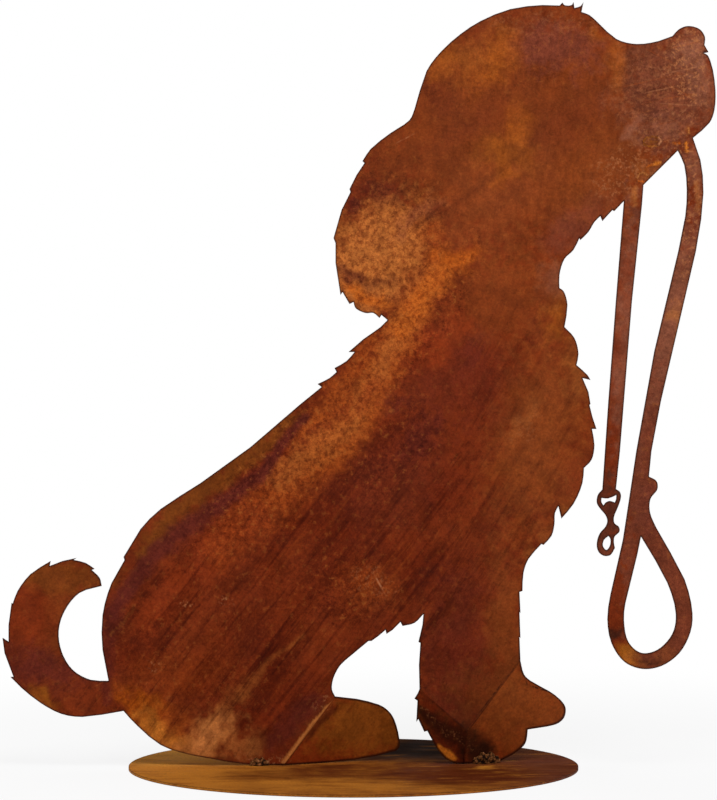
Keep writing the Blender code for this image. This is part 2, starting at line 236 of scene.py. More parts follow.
# Bands of rust, and of painted highlight and shade along the hind fold: colour, share, softness, fray,
# and the line with its half width at each point
BANDS = [
    (ORANGE, 0.8, 0.5, 1,
     [(92, 502, 10), (57, 449, 17), (30, 400, 17), (3, 341, 18), (-24, 313, 20)]),
    (ORANGE, 0.6, 0.8, 1, [(-24, 313, 20), (-63, 285, 22), (-104, 245, 20), (-139, 209, 12)]),
    (TAN, 0.45, 0.9, 2,
     [(84, 492, 10), (50, 438, 12), (24, 392, 10), (-4, 338, 12), (-70, 290, 12)]),
    (ORANGE, 0.6, 0.8, 1, [(18, 429, 7), (-3, 391, 7), (-22, 360, 8), (-56, 331, 7)]),
    (BRICK, 0.55, 0.8, 1, [(22, 382, 7), (6, 356, 7)]),
    (BRICK, 0.6, 0.8, 1, [(-95, 250, 14), (-160, 196, 22), (-205, 145, 14)]),
    (BRIGHT_ORANGE, 0.5, 0.6, 1, [(96, 504, 6), (70, 470, 12), (48, 436, 9)]),
    (OLIVE_GOLD, 0.7, 0.7, 2, [(-212, 212, 7), (-172, 258, 12), (-117, 300, 11), (-60, 346, 6)]),
    (PURPLE, 0.9, 0.55, 1,
     [(-243, 153, 7), (-196, 214, 9), (-164, 238, 10), (-102, 283, 8), (-51, 345, 5)]),
    (MAROON, 0.7, 0.6, 1, [(-246, 60, 4), (-248, 110, 8), (-240, 156, 9)]),
    (TAN, 0.45, 0.9, 1.5, [(-51, 129, 1.6), (-88, 101, 2.6), (-112, 70, 7)]),
    (BRICK, 0.4, 0.8, 1, [(-20, 120, 5), (-60, 74, 8), (-86, 40, 6)]),
    (PURPLE, 0.6, 0.8, 1, [(-84, 24, 6), (-60, 44, 11), (-38, 64, 8)]),
    (TAN, 0.3, 0.6, 1, [(-245, 128, 1.2), (-218, 158, 1.5)]),
    (DARK_STREAK, 0.3, 0.9, 1, [(62, 536, 2), (100, 562, 3), (142, 592, 3), (180, 620, 2)]),
    (PINK_GREY, 0.5, 0.8, 1, [(267, 627, 3), (278, 637, 5), (289, 647, 4)]),
    # Along the hind fold: a light line of worn rust with a painted highlight on the ridge, and beside
    # it a dark line of painted shade
    (TAN_PINK, 0.95, 0.5, 0.3, [(-70, 3, 2.2), (-50, 29, 1.4), (-27, 59, 1.0)]),
    (DARK_STREAK, 0.7, 0.7, 1.5, [(-46, 25, 1.5), (-21, 57, 4)]),
    (NEAR_BLACK, 0.75, 0.7, 1, [(66, 54, 5), (84, 40, 10), (110, 26, 14), (130, 14, 11)]),
    (GLOWING_ORANGE, 0.9, 0.5, 1.2, [(85, 17, 2), (93, 10.5, 4), (102, 6, 3)]),
    (DARK_STREAK, 0.6, 0.6, 1, [(86, 10, 1.5), (96, 3, 2), (106, 1, 2)]),
    (TAN_PINK, 0.4, 0.9, 2, [(280.5, 580, 2), (281, 562, 2.4)]),
    (TAN_PINK, 0.3, 0.9, 2, [(344, 582, 2.5), (343, 560, 2.5)]),
]
# Thin broken lines: colour, share, start, end and half width
THIN_LINES = [
    # Painted shade: the first two lines darken the front foot's fold and the heel's fold
    (NEAR_BLACK, 0.65, (166, 104), (118, 42), 0.9),
    (NEAR_BLACK, 0.35, (71, 70), (116, 33), 1.0),
    (NEAR_BLACK, 0.8, (169, 95), (175, 78), 1.0),
    (NEAR_BLACK, 0.8, (174, 79), (200, 70), 1.0),
    (NEAR_BLACK, 0.3, (88, 560), (55, 528), 1.6),
    (PALE_FLECK, 0.5, (21, 190), (31, 172), 0.9),
    (PALE_FLECK, 0.25, (43, 622), (60, 631), 0.8),
    (PALE_FLECK, 0.25, (290, 672), (330, 680), 0.7),
    (PALE_FLECK, 0.25, (306, 690), (352, 700), 0.7),
    (PALE_FLECK, 0.2, (300, 662), (350, 659), 0.7),
    (PALE_FLECK, 0.2, (326, 650), (346, 668), 0.7),
    (PALE_FLECK, 0.2, (286, 700), (318, 694), 0.7),
]
# Lumps of weld crust along the jaw, with a painted highlight on the ring's right side: colour, height
# in metres, and the line with its half widths
CRUST = [
    (OLIVE_BROWN, 0.0002, [(293, 623, 2.6), (302, 623.5, 2.6)]),
    (OCHRE, 0.0004, [(305, 627.5, 0.9), (299, 628.5, 0.8), (293, 627.5, 0.8), (290, 624, 0.8),
                     (290, 621, 0.8), (296, 618.5, 0.8), (303, 619, 0.8)]),
    # Painted highlight: the pale right side of the crust ring
    (PALE_FLECK, 0.0005, [(305, 628, 0.9), (307.5, 624, 1.1), (305, 620, 0.9)]),
    (GLOWING_ORANGE, 0.0006, [(299, 600, 1.2), (303, 601.5, 1.9), (307, 602.5, 1.3)]),
    (BRIGHT_ORANGE, 0.0005, [(293, 597.5, 0.9), (298, 600.5, 1.2)]),
    (TAN_PINK, 0.0004, [(284, 587, 0.9), (286, 591, 1.0), (290, 592.5, 1.0), (295, 589, 0.9)]),
    (BRIGHT_ORANGE, 0.0005, [(285, 584, 1.0), (290, 583.5, 1.5)]),
    (GLOWING_ORANGE, 0.0005, [(332.5, 622, 1.3), (333.5, 614, 1.8)]),
    (BRIGHT_ORANGE, 0.0003, [(320, 622, 1.2), (326, 621.5, 1.4)]),
    (TAN_PINK, 0.0003, [(335, 637, 0.9), (335.5, 632, 1.0)]),
    (PALE_FLECK, 0.0002, [(320, 652, 1.2), (321, 651, 1.2)]),
]
# Brushed areas: centre, size, angle of the area, angle of its streaks, strength of dark and of light
BRUSHED = [
    ((-60, 155), (225, 118), 30, 52, 1.0, 0.4),
    ((150, 300), (75, 170), -15, 60, 0.5, 0.35),
    ((120, 110), (60, 100), 0, 70, 0.2, 0.15),
    ((150, 640), (165, 120), 0, 83, 0.25, 0.3),
    ((-290, 120), (70, 90), 0, 28, 0.2, 0.35),
    ((315, 680), (48, 50), 0, 12, 0.4, 0.9),
    ((325, 690), (36, 46), 0, -28, 0.2, 0.8),
]
# Mottled and flecked areas: centre, size, angle and strength
MOTTLED = [
    ((30, 510), (62, 85), -15, 1.0),
    ((45, 425), (120, 34), 52, 0.95),
    ((-60, 300), (140, 40), 44, 0.95),
    ((30, 320), (60, 50), 30, 0.7),
    ((0, 175), (45, 35), 0, 0.9),
    ((-150, 110), (110, 90), 20, 0.5),
    ((-60, 200), (150, 90), 40, 0.45),
    ((150, 705), (130, 40), 10, 0.45),
    ((320, 680), (60, 75), 0, 0.5),
    ((320, 330), (60, 330), 0, 0.45),
]
FLECKED = [
    ((334, 700), (22, 50), 0, 1.0),
    ((305, 672), (50, 40), 0, 0.35),
    ((336, 560), (16, 90), 8, 0.9),
    ((268, 590), (26, 18), 40, 0.7),
    ((300, 612), (40, 30), 40, 0.5),
    ((-88, 8), (24, 9), 0, 1.0),
    ((95, 36), (34, 4), -38, 0.6),
    ((-130, 163), (8, 6), 0, 1.0),
    ((-165, 160), (8, 6), 0, 0.8),
    ((-198, 98), (8, 6), 0, 0.8),
    ((-30, 64), (16, 8), 50, 0.7),
    ((170, 338), (20, 12), 45, 0.2),
    ((190, 742), (90, 14), -4, 0.25),
    ((20, 182), (22, 16), 0, 0.4),
]
# Patches of rust on the plate, with a painted pool of light at its back left and a painted shadow
# behind the sheet, as above: x to the right and y to the back, from its middle
PLATE_PATCHES = [
    (PLATE_GOLD, 0.95, (-195, 0), (75, 150), 0, 0.5),
    # Painted light: the plate's back left, which the sheet shades, painted as bright lit gold
    (PLATE_GOLD_AND_LIGHT, 0.8, (-190, 80), (60, 65), 0, 0.6),
    (PLATE_GOLD, 0.55, (-60, -160), (190, 50), 0, 0.7),
    (PLATE_BROWN, 0.6, (-75, -75), (42, 36), 0, 0.7),
    (PLATE_RED, 0.85, (185, -20), (95, 150), 0, 0.5),
    (PLATE_BROWN, 0.7, (50, -60), (70, 50), 0, 0.7),
    (PLATE_BROWN, 0.9, (115, -75), (52, 60), 0, 0.7),
    (PLATE_DARK, 0.3, (115, -75), (48, 45), 0, 0.7),
    (PLATE_RUST, 0.8, (100, -95), (75, 70), 0, 0.6),
    (PLATE_GOLD, 0.35, (-110, -30), (40, 60), 0, 0.7),
    # Painted shadow: near black on the plate behind the sheet, between the feet
    (PLATE_DARK, 0.97, (60, 130), (120, 90), 0, 0.6),
    (PLATE_GOLD, 0.8, (130, -24), (10, 14), 0, 0.6),
]

# The fine mesh of the sheet, in drawn units: steps on each side, and finer zones on the front
FRONT_STEP = 2.4
BACK_STEP = 4.5
FINE_ZONES = [
    ((268, 556), (350, 645), 0.9),
    ((60, 0), (216, 108), 1.5),
    ((-112, 0), (-8, 74), 1.6),
    ((236, 205), (275, 285), 1.2),
]
SEED = 5
NOISE_SEED = 7                    # without one, noise vectors change with the clock
GRID_SHAKE = 0.22                 # how far grid points are shaken, in steps
KEEP_OFF = 0.55                   # how far grid points stay from the borders, in steps
SIDE_FACING = 0.7                 # the least that a side's normals point straight out
CREASE_ANGLE = 0.1                # radians, between the straight sheet and a fold
CUT_ANGLE = 1.0                   # radians, between a side and a cut edge
SHARP_ANGLE = math.radians(40)
SAME_PLACE = 1e-6                 # how close two points count as one

# The noises behind the painted rust: sizes and reaches in drawn units
FRACTAL = (0.6, 2.1)              # how fast the finer levels fade, and how much finer each one is
WANDERS = ((30, 10), (11, 6))     # sizes, and how far patches wander
BAND_WANDER = 0.4                 # how much bands wander, against the patches
FRAY = 0.42
FRAY_SIZE = 9
TONE_SIZE = 55
GRIT_SIZE = 2.4
BACK_LAYER = 500                  # layers that keep one noise apart from the next
TONE_LAYER = 900
GRIT_LAYER = 70
RELIEF_LAYER = 90

# Strengths of the painted rust
OVAL_SOFTNESS = 0.4
LEAST_MOTTLE = 0.25
FOLD_START = 0.05                 # how far a folded normal leans before its gain starts to grow
FOLD_RANGE = 0.08
FOLD_GOLD_AND_LIGHT = (1.65, 1.75, 1.6)     # the folded feet are more golden rust, and brighter as painted light, since they turn from the lamps
CRUST_SOFTNESS = 0.7
CRUST_FRAY = 1.3
CRUST_FULLNESS = 0.75             # how much of the crust's lines is covered, before grit breaks them
HALO_SHARE = 0.5                  # the dark surround of the crust
HALO_SOFTNESS = 1.2
HALO_REACH = 0.6                  # how much wider it is than the crust, in half widths

# Relief in metres, and the sizes of its noises in drawn units
RELIEF = 0.00009
SCALE_SIZE = 4.5
SCALE_FRACTAL = (0.7, 2.2, 3)
SWELL_SIZE = 16
SWELL_SHARE = 0.8
LUMP_SIZE = 1.6
LUMP_SHARE = 0.6

# The tack welds, in metres
WELD_STEP = 0.00025
WELD_LUMP = 0.0032
WELD_ROUNDNESS = 1.6              # how steeply a lump falls from its middle
WELD_DIP = 0.0008
WELD_GRIT = 0.0007
WELD_GRIT_SHARE = 0.25
WELD_FRACTAL = (0.7, 2.1, 3)

# Noises of the shaders: size in drawn units, detail and roughness
BLOTCHES = (11, 6, 0.72)
SWELLS = (22, 6, 0.7)
SPOTS = (6.5, 5, 0.68)
WORMS = (3, 4, 0.7)
CRUMBS = (3.2, 3, 0.6)
SHADES = (2.6, 5, 0.78)
BREAKS = (5, 4, 0.7)
SHEET_GRAIN = (1.9, 4, 0.7)
PLATE_WANDER = (30, 3, 0.6)
PLATE_TONES = (60, 4, 0.6)
PLATE_GRAIN = (2.5, 4, 0.7)
WELD_GRAIN = (1.6, 4, 0.7)
PLATE_STREAKS = (1, 4, 0.65)      # its size in streaks
GLOSS_PATCHES = (40, 4, 0.6)
SHADER_FRAY = 2.4
AREA_SOFTNESS = 0.35
PLATE_RAGGED = 40                 # how far the plate's patches wander, in drawn units
PLATE_STREAK = (60, 16)           # length and width, in drawn units
PLATE_STREAK_ANGLE = 3
RIM_LINE = 0.0016                 # metres
RIM_SAMPLES = 6
# What the shaders make of a noise or a measure: where a ramp starts and ends, and from what to what
SWELL_LEVELS = (0.38, 0.62, 0.86, 1.14)
DARK_SPOTS = (0.49, 0.57, 0, 0.65)
DARK_WORMS = (0.5, 0.58, 0, 0.6)
CLEARINGS = (0.44, 0.34, 0, 0.4)
PALE_CRUMBS = (0.5, 0.66, 0, 0.6)
SHADE_LEVELS = (0.32, 0.68, 0.76, 1.26)
BREAK_LEVELS = (0.42, 0.56, 0.25, 1)
EDGE_DARKNESS = (2.2, 0.3, 0, 0.85)
ROUGHNESS_LEVELS = (0.3, 0.7, 0.55, 0.8)
PLATE_TONE_LEVELS = (0.35, 0.65)
DARK_PLATE_STREAKS = (0.5, 0.66, 0, 0.65)
GOLD_PLATE_STREAKS = (0.46, 0.32, 0, 0.45)
PLATE_SHADES = (0.3, 0.7, 0.8, 1.2)
RIM_LEVELS = (0.998, 0.9, 0, 0.7)
WELD_GRAIN_LEVELS = (0.3, 0.7, -0.25, 0.25)
WELD_BROWNS = (0.2, 0.8)
WELD_TOPS = (0.75, 1.2, 0, 0.6)
LEAST_SHADE = 0.6                 # how deep the fine shading is, and what mottling adds to it
MOTTLE_SHADE = 0.5
# Brush marks, from broad to fine: length and width, detail and roughness, where dark marks start
# and end and their share, and the same with a colour for light marks
BRUSH_MARKS = [
    ((170, 17), 3, 0.55, (0.46, 0.62, 0.5), None),
    ((150, 5.5), 4, 0.6, (0.5, 0.66, 0.7), (0.44, 0.3, 0.5, ORANGE)),
    ((34, 1.4), 3, 0.65, (0.55, 0.72, 0.55), (0.4, 0.26, 0.4, TAN)),
    ((4.2, 1.5), 3, 0.7, None, (0.67, 0.78, 0.6, PALE_FLECK)),
]
DARKEST = (0.5, 0.38, 0.36)       # what the darkest marks multiply a colour by
STROKE_SOFTNESS = 0.45
NO_DEPTH = 1e6                    # so large that places count alike at any depth
RUST_SHINE = 0.05
BUMP_STRENGTH = 0.6
FINE_BUMP = 0.00012               # metres, like the next one
WELD_BUMP = 0.0003

# The stage
BACKDROP = (1.0, 1.0, 1.0, 1)
AMBIENT = 0.13
FLOOR_RADIUS = 12
FLOOR_SIDES = 96
FLOOR_GREY = (0.9, 0.9, 0.9, 1)
FLOOR_FADE = (0.25, 0.95)         # from lit floor to plain backdrop, in metres from the plate's middle
FLOOR_GLOW = 0.86                 # how much of the floor by the plate is as plain as the backdrop
# Soft lights: name, place, size, watts, and the place that they aim at
LIGHTS = [
    ("key", (0.4, -1.2, 2.3), (1.5, 1.2), 42, (0, 0, 0.3)),
    ("front", (0.8, -2.4, 0.5), (1.6, 1.0), 11, (0, 0, 0.3)),
    ("back", (-1.3, 1.1, 1.4), (1.4, 1.2), 9, (-0.1, 0.05, 0.1)),
]


class Shader:
    """A node material, built up one step after another."""

    def __init__(self, name):
        self.material = bpy.data.materials.new(name)
        self.material.use_nodes = True
        self.tree = self.material.node_tree
        self.surface = self.tree.nodes["Principled BSDF"]
        self.object_place = self.add("ShaderNodeTexCoord").outputs["Object"]

    def add(self, kind, **settings):
        """A new node, with some of its settings."""
        node = self.tree.nodes.new(kind)
        for name, value in settings.items():
            setattr(node, name, value)
        return node

    def feed(self, socket, value):
        """A socket takes another node's output, or a plain value."""
        if isinstance(value, bpy.types.NodeSocket):
            self.tree.links.new(value, socket)
        else:
            socket.default_value = value

    def attribute(self, name, output):
        """A value painted on the mesh."""
        return self.add("ShaderNodeAttribute", attribute_name=name).outputs[output]

    def math(self, operation, first, second=0.0):
        """A sum, product or difference of two numbers."""
        node = self.add("ShaderNodeMath", operation=operation)
        self.feed(node.inputs[0], first)
        self.feed(node.inputs[1], second)
        return node.outputs[0]

    def vector(self, operation, first, second=(0, 0, 0), scale=1.0):
        """A sum, difference or product of two vectors, or one vector's length or multiple."""
        node = self.add("ShaderNodeVectorMath", operation=operation)
        self.feed(node.inputs[0], first)
        self.feed(node.inputs[1], second)
        if operation == "SCALE":
            node.inputs["Scale"].default_value = scale
        return node.outputs["Value" if operation in ("LENGTH", "DOT_PRODUCT") else "Vector"]

    def stretch(self, place, centre, angle, size):
        """The place seen from a turned and sized axis system: 1 is one size away from the centre."""
        node = self.add("ShaderNodeMapping", vector_type="TEXTURE")
        self.feed(node.inputs["Vector"], place)
        node.inputs["Location"].default_value = (centre[0], 0, centre[1])
        node.inputs["Rotation"].default_value = (0, -math.radians(angle), 0)
        node.inputs["Scale"].default_value = (size[0], NO_DEPTH, size[1])
        return node.outputs["Vector"]

    def noise(self, place, size, detail, roughness, output="Fac"):
        """A noise whose swells are about as wide as the size."""
        node = self.add("ShaderNodeTexNoise")
        self.feed(node.inputs["Vector"], place)
        node.inputs["Scale"].default_value = 1 / size
        node.inputs["Detail"].default_value = detail
        node.inputs["Roughness"].default_value = roughness
        return node.outputs[output]

    def ramp(self, value, low, high, bottom=0.0, top=1.0):
        """A smooth step from bottom to top as the value goes from low to high."""
        node = self.add("ShaderNodeMapRange", interpolation_type="SMOOTHSTEP")
        self.feed(node.inputs["Value"], value)
        node.inputs["From Min"].default_value = low
        node.inputs["From Max"].default_value = high
        node.inputs["To Min"].default_value = bottom
        node.inputs["To Max"].default_value = top
        return node.outputs["Result"]

    def mix(self, share, first, second):
        """The first colour, with a share of the second."""
        node = self.add("ShaderNodeMix", data_type="RGBA")
        self.feed(node.inputs["Factor"], share)
        self.feed(node.inputs["A"], first)
        self.feed(node.inputs["B"], second)
        return node.outputs["Result"]

    def patch(self, place, centre, size, angle, softness, fray=None):
        """How much a place belongs to a soft-edged oval patch, its edge frayed by a noise."""
        away = self.vector("LENGTH", self.stretch(place, centre, angle, size))
        if fray is not None:
            away = self.math("ADD", away, fray)
        return self.ramp(away, 1 - softness, 1 + softness, 1.0, 0.0)

    def paint(self, colour, place, patches):
        """Lay patches over a colour: each is a colour, its share, centre, size, angle and softness."""
        for tint, share, centre, size, angle, softness in patches:
            here = self.patch(place, centre, size, angle, softness)
            colour = self.mix(self.math("MULTIPLY", here, share), colour, tint)
        return colour

    def strokes(self, colour, place, strokes, breaks):
        """Draw thin broken lines: each is a colour, its share, start, end and half width."""
        for tint, share, start, end, half_width in strokes:
            run = Vector(end) - Vector(start)
            centre = (Vector(start) + Vector(end)) / 2
            here = self.patch(place, centre, (run.length / 2, half_width),
                              math.degrees(math.atan2(run.y, run.x)), STROKE_SOFTNESS)
            here = self.math("MULTIPLY", self.math("MULTIPLY", here, breaks), share)
            colour = self.mix(here, colour, tint)
        return colour

    def darker(self, colour, share):
        """The colour, darkened by a share of the darkest rust marks."""
        return self.mix(share, colour, self.vector("MULTIPLY", colour, DARKEST))


def in_zone(x, z, zone):
    """Whether a place lies in a finer zone."""
    (x0, z0), (x1, z1), _ = zone
    return x0 <= x <= x1 and z0 <= z <= z1


def grid_places(low, high, step, zones):
    """Slightly shaken grid points, with finer ones in the zones."""
    shake = random.Random(SEED)
    areas = [(low, high, step)] + list(zones)
    for number, ((x0, z0), (x1, z1), gap) in enumerate(areas):
        for row in range(int((z1 - z0) / gap) + 1):
            for column in range(int((x1 - x0) / gap) + 1):
                x = x0 + (column + 0.5 * (row % 2) + shake.uniform(-GRID_SHAKE, GRID_SHAKE)) * gap
                z = z0 + (row + shake.uniform(-GRID_SHAKE, GRID_SHAKE)) * gap
                if number or not any(in_zone(x, z, zone) for zone in zones):
                    yield x, z, gap


def points_along(start, end):
    """Points at most one drawn unit apart, from start to end."""
    count = max(1, math.ceil((end - start).length))
    return [start.lerp(end, k / count) for k in range(count + 1)]


def search_tree(points):
    """A tree that finds the nearest of some drawn points."""
    tree = kdtree.KDTree(len(points))
    for i, point in enumerate(points):
        tree.insert(point.to_3d(), i)
    tree.balance()
    return tree


def surface_finder(side, facing):
    """A function that gives the real place of a drawn one on a side, or None beside it."""
    corners = [vert.co.copy() for face in side for vert in face.verts]
    tree = BVHTree.FromPolygons(corners, [(i, i + 1, i + 2) for i in range(0, len(corners), 3)])

    def on_surface(x, z):
        start = Vector((x * UNIT, facing, SHEET_LOW.z + z * UNIT))
        return tree.ray_cast(start, Vector((0, -facing, 0)))[0]

    return on_surface


def find_borders(side):
    """The edges that a side keeps: its rim and its creases."""
    members = set(side)
    borders = []
    for edge in dict.fromkeys(edge for face in side for edge in face.edges):
        inside = [face for face in edge.link_faces if face in members]
        if len(inside) == 1 or inside[0].normal.angle(inside[1].normal) > CREASE_ANGLE:
            borders.append(edge)
    return borders


def refine_side(bm, facing, step, zones):
    """Remesh one side of the sheet finely, on the same surface and with the same edges."""
    side = [face for face in bm.faces if face.normal.y * facing > SIDE_FACING]
    on_surface = surface_finder(side, facing)
    borders = find_borders(side)
    verts = list(dict.fromkeys(vert for edge in borders for vert in edge.verts))
    number = {vert: i for i, vert in enumerate(verts)}
    points = [Vector(drawn_place(vert.co)) for vert in verts]
    edges = [(number[edge.verts[0]], number[edge.verts[1]]) for edge in borders]
    near = search_tree([point for a, b in edges for point in points_along(points[a], points[b])])
    spots = []
    for x, z, gap in grid_places(drawn_place(SHEET_LOW), drawn_place(SHEET_HIGH), step, zones):
        spot = on_surface(x, z)
        if spot and near.find(Vector((x, z, 0)))[2] > KEEP_OFF * gap:
            points.append(Vector((x, z)))
            spots.append(spot)
    bmesh.ops.delete(bm, geom=side, context="FACES_ONLY")
    fill_side(bm, facing, on_surface, points, edges, verts, spots)
    bmesh.ops.delete(bm, geom=[edge for edge in bm.edges if not edge.link_faces], context="EDGES")
    bmesh.ops.delete(bm, geom=[vert for vert in bm.verts if not vert.link_faces], context="VERTS")


def fill_side(bm, facing, on_surface, points, edges, verts, spots):
    """Triangulate a side between its edges: the first points are the verts, and the rest the spots."""
    flat, _, triangles, origins, _, _ = delaunay_2d_cdt(points, edges, [], 0, SAME_PLACE, True)
    made = {}
    for i, origin in enumerate(origins):
        source = origin[0] if origin else None
        if source is None:
            made[i] = bm.verts.new(on_surface(*flat[i]) or drawn(*flat[i]))
        elif source < len(verts):
            made[i] = verts[source]
        else:
            made[i] = bm.verts.new(spots[source - len(verts)])
    for triangle in triangles:
        middle = sum((flat[i] for i in triangle), Vector((0, 0))) / 3
        if on_surface(*middle):
            order = triangle if facing < 0 else reversed(triangle)
            bm.faces.new([made[i] for i in order])


def wander_and_fray(places, fronts):
    """How far each place wanders from the drawn patches, and how its patches fray."""
    wander = numpy.zeros((len(places), 2))
    fray = numpy.zeros(len(places))
    for i, (x, z) in enumerate(places):
        at = Vector((x, 0 if fronts[i] else BACK_LAYER, z))
        shift = sum((noise.noise_vector(at / size) * reach for size, reach in WANDERS), Vector())
        wander[i] = (shift.x, shift.z)
        fray[i] = FRAY * noise.fractal(at / FRAY_SIZE, *FRACTAL, 5)
    return wander, fray


def ground_colours(places):
    """The rust under all patches, slowly changing from deep red to red brown."""
    tone = numpy.array([noise.noise(Vector((x, TONE_LAYER, z)) / TONE_SIZE) for x, z in places])
    share = numpy.clip(0.5 + tone, 0, 1)[:, None]
    return numpy.array(DEEP_RED[:3]) * (1 - share) + numpy.array(RED_BROWN[:3]) * share


def paint_places(places, fronts, folds):
    """The broad rust colours of drawn places, with some painted light and shade: the painted front,
    and a plainer back.
    """
    xz = numpy.array(places)
    wander, fray = wander_and_fray(places, fronts)
    moved = xz + wander
    colours = ground_colours(places)
    front = numpy.array(fronts, float)
    for patches, side in ((BROAD_PATCHES + SMALL_PATCHES, front), (BACK_PATCHES, 1 - front)):
        for tint, amount, centre, size, angle, softness in patches:
            here = side * amount * oval(moved, centre, size, angle, softness, fray)
            colours = lay(colours, tint, here)
    for tint, amount, softness, ragged, line in BANDS:
        shift = BAND_WANDER * min(1, ragged) * wander
        here = front * amount * band(xz + shift, line, softness, fray * ragged)
        colours = lay(colours, tint, here)
    # The folded feet: more golden rust, and painted light that makes up for the lamps they turn from
    colours *= 1 + numpy.array(folds)[:, None] * (numpy.array(FOLD_GOLD_AND_LIGHT) - 1)
    colours, crusted = lay_crust(colours, places, front, fray)
    mottle = spread(moved, MOTTLED, LEAST_MOTTLE, fray)
    return colours, mottle, spread(moved, FLECKED, 0.0, fray), crusted


def lay_crust(colours, places, front, fray):
    """The colours with the weld crust and its dark surround on them, and the crust's heights."""
    xz = numpy.array(places)
    crusted = numpy.zeros(len(places))
    grit = numpy.array([noise.fractal(Vector((x, GRIT_LAYER, z)) / GRIT_SIZE, *FRACTAL, 3)
                        for x, z in places])
    for tint, height, line in CRUST:
        here = front * band(xz, line, CRUST_SOFTNESS, grit * CRUST_FRAY)
        halo = HALO_SHARE * front * band(xz, line, HALO_SOFTNESS, fray - HALO_REACH)
        colours = lay(colours, DARK_STREAK, halo)
        colours = lay(colours, tint, here * numpy.clip(CRUST_FULLNESS + grit, 0, 1))
        crusted = numpy.maximum(crusted, here * height)
    return colours, crusted


def lay(colours, tint, share):
    """One colour over the others, by a share at each place."""
    return colours * (1 - share[:, None]) + numpy.array(tint[:3]) * share[:, None]


def spread(moved, areas, floor, fray):
    """The strongest of some ovals at each place, and a floor elsewhere."""
    result = numpy.full(len(moved), floor)
    for centre, size, angle, strength in areas:
        here = oval(moved, centre, size, angle, OVAL_SOFTNESS, fray)
        result = numpy.maximum(result, strength * here)
    return result


def step_down(away, softness):
    """From 1 to 0 as a distance passes 1."""
    step = numpy.clip((1 + softness - away) / (2 * softness), 0, 1)
    return step * step * (3 - 2 * step)


def oval(moved, centre, size, angle, softness, fray):
    """How much each place belongs to a frayed oval."""
    turn = math.radians(angle)
    dx, dz = moved[:, 0] - centre[0], moved[:, 1] - centre[1]
    along = (dx * math.cos(turn) + dz * math.sin(turn)) / size[0]
    across = (dz * math.cos(turn) - dx * math.sin(turn)) / size[1]
    return step_down(numpy.hypot(along, across) + fray, softness)


def band(moved, line, softness, fray):
    """How much each place belongs to a frayed band along a line, as wide as its points say."""
    away = numpy.full(len(moved), numpy.inf)
    for (x0, z0, wide0), (x1, z1, wide1) in zip(line, line[1:]):
        run = numpy.array([x1 - x0, z1 - z0])
        part = numpy.clip((moved - [x0, z0]) @ run / (run @ run), 0, 1)
        gap = numpy.hypot(*(moved - [x0, z0] - part[:, None] * run).T)
        away = numpy.minimum(away, gap / (wide0 + (wide1 - wide0) * part))
    return step_down(away + fray, softness)


def fine_sheet():
    """The CAD sheet with both sides remeshed, and the vertices of its cut edges."""
    bm = bmesh.new()
    bm.from_mesh(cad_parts["dog_with_leash"].data)
    bmesh.ops.remove_doubles(bm, verts=bm.verts, dist=SAME_PLACE)
    bm.normal_update()
    outer = {vert for edge in bm.edges if is_cut(edge) for vert in edge.verts}
    refine_side(bm, -1, FRONT_STEP, FINE_ZONES)
    refine_side(bm, 1, BACK_STEP, [])
    bm.normal_update()
    return bm, outer


def is_cut(edge):
    """Whether an edge lies between a side of the sheet and its cut rim, or on a corner of the rim."""
    return edge.calc_face_angle(0) > CUT_ANGLE


def fold_share(vert, outer):
    """1 where the sheet is folded back, and 0 on its straight parts and its rim."""
    if vert in outer:
        return 0.0
    return min(1.0, max(0.0, (1 - abs(vert.normal.y) - FOLD_START) / FOLD_RANGE))


def edge_distances(bm, verts, places, outer):
    """How far each place is from the nearest cut edge, in drawn units."""
    samples = []
    for edge in bm.edges:
        if edge.verts[0] in outer and edge.verts[1] in outer and is_cut(edge):
            samples += points_along(*(Vector(drawn_place(vert.co)) for vert in edge.verts))
    rim = search_tree(samples)
    return [0.0 if vert in outer else rim.find(Vector((x, z, 0)))[2]
            for vert, (x, z) in zip(verts, places)]


def roughen(verts, places, outer, crusted):
    """Raise the rust's relief and the weld crust, away from the cut edges."""
    for vert, (x, z), crust in zip(verts, places, crusted):
        if vert not in outer:
            at = Vector((x, vert.normal.y * RELIEF_LAYER, z))
            scale = noise.fractal(at / SCALE_SIZE, *SCALE_FRACTAL)
            height = scale + SWELL_SHARE * noise.noise(at / SWELL_SIZE)
            lumps = 1 + LUMP_SHARE * noise.noise(at / LUMP_SIZE)
            vert.co += vert.normal * (RELIEF * height + crust * lumps)


def store(mesh, name, values):
    """Keep a value at each vertex, for the shader."""
    mesh.attributes.new(name, "FLOAT", "POINT").data.foreach_set("value", numpy.array(values, float))


def make_sheet():
    """The silhouette as a fine mesh on the CAD sheet's own surface, painted and slightly roughened."""
    bm, outer = fine_sheet()
    verts = list(bm.verts)
    places = [drawn_place(vert.co) for vert in verts]
    fronts = [vert.normal.y < 0 for vert in verts]
    folds = [fold_share(vert, outer) for vert in verts]
    colours, mottle, flecks, crusted = paint_places(places, fronts, folds)
    from_edge = edge_distances(bm, verts, places, outer)
    roughen(verts, places, outer, crusted)
    mesh = bpy.data.meshes.new("dog_sheet")
    bm.to_mesh(mesh)
    bm.free()
    paint = mesh.color_attributes.new("paint", "FLOAT_COLOR", "POINT")
    paint.data.foreach_set("color", numpy.column_stack([colours, numpy.ones(len(places))]).ravel())
    store(mesh, "mottle", mottle)
    store(mesh, "flecks", flecks)
    store(mesh, "from_edge", from_edge)
    sheet = bpy.data.objects.new("dog_sheet", mesh)
    bpy.context.scene.collection.objects.link(sheet)
    mesh.shade_smooth()
    mesh.set_sharp_from_angle(angle=SHARP_ANGLE)
    mesh.materials.append(rust_sheet())
    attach(sheet, "root")
    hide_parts("dog_with_leash")


